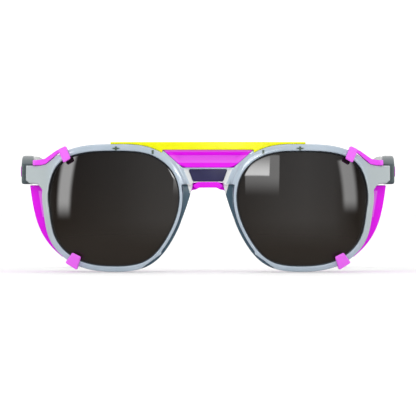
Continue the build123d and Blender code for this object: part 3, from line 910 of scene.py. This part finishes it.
@dataclass
class BrowCushion:
    """The soft scooped pad under the brow bar."""

    top_half: float = 17.4 * MM
    bottom_half: float = 9.9 * MM
    corner: float = 2.6 * MM
    lip: float = 1.3 * MM
    step: float = 0.8 * MM
    floor_lip: float = 0.9 * MM
    floor: float = 0.9 * MM
    floor_edge: float = 0.35 * MM
    tilt: float = 1.1 * MM
    tilt_pivot: float = 0.6
    edge: float = 0.35 * MM
    wall_share: float = 0.5

    def build(self) -> bpy.types.Object:
        """Models the pad from a flat plate: rounded corners, two insets pushed back, a tilted floor.

        Returns:
            The finished pad.
        """
        low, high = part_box("brow_pad")
        nothing_selected()
        bpy.ops.mesh.primitive_plane_add(size=0.02, location=(0.0, low.y, (low.z + high.z) / 2),
                                         rotation=(math.pi / 2, 0.0, 0.0))
        piece = bpy.context.object
        piece.name = "brow_cushion"
        settle(piece)
        for vertex in piece.data.vertices:
            top = vertex.co.z > (low.z + high.z) / 2
            vertex.co.z = high.z if top else low.z
            vertex.co.x = math.copysign(self.top_half if top else self.bottom_half, vertex.co.x)
            vertex.co.y = low.y
        if piece.data.polygons[0].normal.y > 0:
            piece.data.flip_normals()
        choose(piece)
        bpy.ops.object.mode_set(mode="EDIT")
        bpy.ops.mesh.select_all(action="DESELECT")
        bpy.ops.object.mode_set(mode="OBJECT")
        for vertex in piece.data.vertices:
            vertex.select = vertex.co.z < (low.z + high.z) / 2
        bpy.ops.object.mode_set(mode="EDIT")
        bpy.ops.mesh.bevel(affect="VERTICES", offset=self.corner, segments=6)
        bpy.ops.mesh.select_all(action="SELECT")
        bpy.ops.mesh.inset(thickness=self.lip)
        bpy.ops.transform.translate(value=(0.0, self.step, 0.0))
        bpy.ops.mesh.inset(thickness=self.floor_lip)
        bpy.ops.transform.translate(value=(0.0, self.floor, 0.0))
        bpy.ops.mesh.inset(thickness=self.floor_edge)
        bpy.ops.object.mode_set(mode="OBJECT")
        deepest = max(v.co.y for v in piece.data.vertices)
        floor = [v for v in piece.data.vertices if v.co.y > deepest - 0.01 * MM]
        bottom, top = min(v.co.z for v in floor), max(v.co.z for v in floor)
        for vertex in floor:
            vertex.co.y += self.tilt * ((vertex.co.z - bottom) / (top - bottom) - self.tilt_pivot)
        wall = piece.modifiers.new("back", "SOLIDIFY")
        wall.thickness, wall.offset = (high.y - low.y) * self.wall_share, -1.0
        soft = piece.modifiers.new("soft_edges", "BEVEL")
        soft.width, soft.segments = self.edge, 3
        soft.limit_method, soft.angle_limit = "ANGLE", math.radians(25)
        apply_all(piece)
        for vertex in piece.data.vertices:
            vertex.co.y = min(vertex.co.y, high.y)
        choose(piece)
        bpy.ops.object.shade_smooth_by_angle(angle=math.radians(40))
        dress(piece, SOFT)
        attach(piece, Body.FRONT.value)
        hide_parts("brow_pad")
        log.info("%s: %d faces", piece.name, len(piece.data.polygons))
        return piece


# ---------------------------------------------------------------- the glasses


@dataclass
class Front:
    """Rims, lenses, bar, pads and shields: everything that doesn't fold."""

    def build(self) -> None:
        """Models and dresses each piece of the front."""
        front = Body.FRONT
        Moulding("front_frame", "frame_moulding", front, FRAME, "frame_plastic").build()
        Moulding("brow_bar", "brow_rail", front, BROW, "brow_plastic", cell=0.25 * MM, passes=2).build()
        Moulding("nose_pad", "nose_saddle", front, SOFT, "soft_pad", cell=0.22 * MM, passes=4).build()
        # bridge plate in painted shade
        dress(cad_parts["bridge_plate"], SHADED_PAD_PLATE)
        BrowCushion().build()
        for side in Side:
            lens = Lens(side)
            lens.build()
            # dark tube of painted shade in the lens groove
            lens.build_groove_shade()
            Moulding(f"side_shield_{side.value}", f"shield_shell_{side.value}", front, SHIELD,
                     "shield_plastic", cell=0.25 * MM, passes=2).build()
            for part in ("hinge_leaf_front", "hinge_rivets_front", "hinge_screw"):
                dress(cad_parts[f"{part}_{side.value}"], STEEL)


@dataclass
class Temple:
    """One folding temple: arm, steel core, inlay, hinge leaf and rubber tip."""

    side: Side

    def build(self) -> None:
        """Models and dresses each piece of the temple."""
        body, end = TEMPLE_BODY[self.side], self.side.value
        Moulding(f"temple_arm_{end}", f"temple_shaft_{end}", body, TEMPLE, "temple_plastic").build()
        Moulding(f"temple_tip_{end}", f"temple_sleeve_{end}", body, TIP, "tip_rubber").build()
        dress(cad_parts[f"temple_inlay_{end}"], INLAY)
        for part in ("temple_core", "hinge_leaf_temple", "hinge_rivets_temple"):
            dress(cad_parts[f"{part}_{end}"], STEEL)


@dataclass(frozen=True)
class Softbox:
    """A light that only reflections show: where it stands as seen from the lenses, and how bright it is."""

    name: str
    azimuth: float
    low: float
    high: float
    half: float
    radiance: float
    reach: float = 1.0
    start: tuple[float, float] = (0.0, 24.75 * MM)
    side_fade: float = 0.12
    low_fade: float = 0.3
    high_fade: float = 0.05

    def build(self, front_y: float) -> None:
        """Adds the light.

        Args:
            front_y: Y of the plane that the directions start from.
        """
        turn, rise = math.radians(self.azimuth), math.radians((self.low + self.high) / 2)
        back = Vector((math.sin(turn) * math.cos(rise), -math.cos(turn) * math.cos(rise), math.sin(rise)))
        light = bpy.data.lights.new(self.name, "AREA")
        light.shape = "RECTANGLE"
        light.size = 2 * self.reach * math.tan(math.radians(self.half))
        light.size_y = 2 * self.reach * math.tan(math.radians((self.high - self.low) / 2))
        light.energy = self.radiance * math.pi * light.size * light.size_y
        self.fade(light)
        lamp = bpy.data.objects.new(self.name, light)
        lamp.location = back * self.reach + Vector((self.start[0], front_y, self.start[1]))
        lamp.rotation_euler = back.to_track_quat("Z", "Y").to_euler()
        lamp.visible_camera = False
        lamp.visible_diffuse = False
        bpy.context.scene.collection.objects.link(lamp)

    def fade(self, light: bpy.types.Light) -> None:
        """Fades the light's edges."""
        light.use_nodes = True
        g = Graph(light.node_tree)
        split = g.add("SeparateXYZ")
        g.link(g.add("NewGeometry").outputs["Parametric"], split.inputs[0])
        across = g.within(split.outputs[0], self.side_fade, 1 - self.side_fade, self.side_fade)
        upward = g.all_of(g.span(split.outputs[1], 0.0, self.low_fade, 0.0, 1.0, True),
                          g.span(split.outputs[1], 1 - self.high_fade, 1.0, 1.0, 0.0, True))
        emission = next(node for node in light.node_tree.nodes if node.type == "EMISSION")
        g.link(g.all_of(across, upward), emission.inputs["Strength"])


@dataclass
class Studio:
    """White studio: floor, soft light from all round, softboxes that show in the lenses, and the camera."""

    view_width: float = 160.9 * MM
    distance: float = 1.5
    eye_z: float = 24.75 * MM
    front_y: float = -62 * MM
    sensor: float = 36.0
    floor_size: float = 30.0
    floor_shade: Colour = (0.99, 0.99, 0.99)
    floor_roughness: float = 0.6
    floor_specular: float = 0.1
    soft_strength: float = 1.03
    backdrop_strength: float = 1.2
    key_power: float = 2.0
    key_size: float = 0.9
    key_place: tuple[float, float, float] = (-0.25, -0.9, 1.1)
    wall_card: Colour = (0.9, 0.9, 0.9)
    ceiling_card: Colour = (1.3, 1.3, 1.3)
    table_card: Colour = (0.22, 0.21, 0.2)
    softboxes: tuple[Softbox, ...] = (
        Softbox("strip_left", -44.0, -6.0, 28.0, 4.6, 6.5, side_fade=0.3),
        Softbox("strip_right", 43.0, -3.0, 24.0, 5.0, 4.4, side_fade=0.3),
        Softbox("window_bright", -7.0, 10.0, 31.0, 10.5, 9.0, reach=0.062, start=(19 * MM, 42 * MM),
                side_fade=0.04, low_fade=0.08, high_fade=0.9),
        Softbox("window_dim", -4.0, -4.0, 31.0, 14.0, 2.6, reach=0.062, start=(20.5 * MM, 39 * MM),
                side_fade=0.03, low_fade=0.5),
    )
    seen_across: Places = (
        (-1.0, 0.9), (-0.82, 0.6), (-0.72, 0.02), (-0.5, 0.15), (-0.2, 0.32), (0.05, 0.55), (0.3, 0.7),
        (0.52, 0.55), (0.70, 0.03), (0.84, 0.6), (1.0, 0.9),
    )

    def build(self) -> None:
        """Makes the floor, the world, the lights and the camera."""
        self.floor()
        self.world()
        self.key()
        for softbox in self.softboxes:
            softbox.build(self.front_y)
        self.camera()

    def floor(self) -> None:
        """Adds a wide pale floor that reflections don't show."""
        nothing_selected()
        bpy.ops.mesh.primitive_plane_add(size=self.floor_size, location=(0.0, 0.0, 0.0))
        floor = bpy.context.object
        floor.name = "studio_floor"
        floor.visible_glossy = False
        material = bpy.data.materials.new("studio_floor")
        material.use_nodes = True
        shader = material.node_tree.nodes["Principled BSDF"]
        shader.inputs["Base Color"].default_value = (*self.floor_shade, 1.0)
        shader.inputs["Roughness"].default_value = self.floor_roughness
        shader.inputs["Specular IOR Level"].default_value = self.floor_specular
        floor.data.materials.append(material)

    def world(self) -> None:
        """White surroundings, with a quieter and darker set of cards for what reflections show."""
        world = bpy.data.worlds.new("studio")
        bpy.context.scene.world = world
        world.use_nodes = True
        g = Graph(world.node_tree)
        split = g.add("SeparateXYZ")
        g.link(g.add("TexCoord").outputs["Generated"], split.inputs[0])
        cards = g.add("ValToRGB")
        ramp = cards.color_ramp.elements
        while len(ramp) < len(self.seen_across):
            ramp.new(0.5)
        for element, (x, value) in zip(ramp, self.seen_across):
            element.position = (x + 1) / 2
            element.color = (value, value, value, 1.0)
        g.link(g.span(split.outputs[0], -1.0, 1.0, 0.0, 1.0), cards.inputs[0])
        behind = g.mix(g.span(split.outputs[1], 0.0, 0.35, 0.0, 1.0), cards.outputs[0], self.wall_card)
        above = g.mix(g.span(split.outputs[2], 0.5, 0.8, 0.0, 1.0), behind, self.ceiling_card)
        seen = g.mix(g.span(split.outputs[2], -0.35, -0.1, 1.0, 0.0), above, self.table_card)
        path = g.add("LightPath")
        soft = g.mix(path.outputs["Is Glossy Ray"], (self.soft_strength,) * 3, seen)
        shown = g.mix(path.outputs["Is Camera Ray"], soft, (self.backdrop_strength,) * 3)
        g.link(shown, world.node_tree.nodes["Background"].inputs["Color"])

    def key(self) -> None:
        """Adds a large soft light above and in front, which gives the shapes their shade."""
        light = bpy.data.lights.new("key", "AREA")
        light.shape, light.size, light.energy = "DISK", self.key_size, self.key_power
        lamp = bpy.data.objects.new("key", light)
        lamp.location = self.key_place
        lamp.rotation_euler = Vector(self.key_place).to_track_quat("Z", "Y").to_euler()
        lamp.visible_camera = False
        lamp.visible_glossy = False
        bpy.context.scene.collection.objects.link(lamp)

    def camera(self) -> None:
        """Adds the camera, straight in front at the middle of the view."""
        data = bpy.data.cameras.new("camera")
        data.sensor_width = self.sensor
        data.lens = self.sensor * self.distance / self.view_width
        data.clip_start, data.clip_end = 0.01, 50.0
        camera = bpy.data.objects.new("camera", data)
        camera.location = (0.0, self.front_y - self.distance, self.eye_z)
        camera.rotation_euler = (math.pi / 2, 0.0, 0.0)
        bpy.context.scene.collection.objects.link(camera)
        bpy.context.scene.camera = camera


def main() -> None:
    """Builds the studio and every sub-assembly."""
    logging.basicConfig(level=logging.INFO, format="%(message)s")
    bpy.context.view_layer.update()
    scene = bpy.context.scene
    scene.view_settings.view_transform = "Standard"
    Studio().build()
    Front().build()
    for side in Side:
        Temple(side).build()
    nothing_selected()


if __name__ == "__main__":
    main()
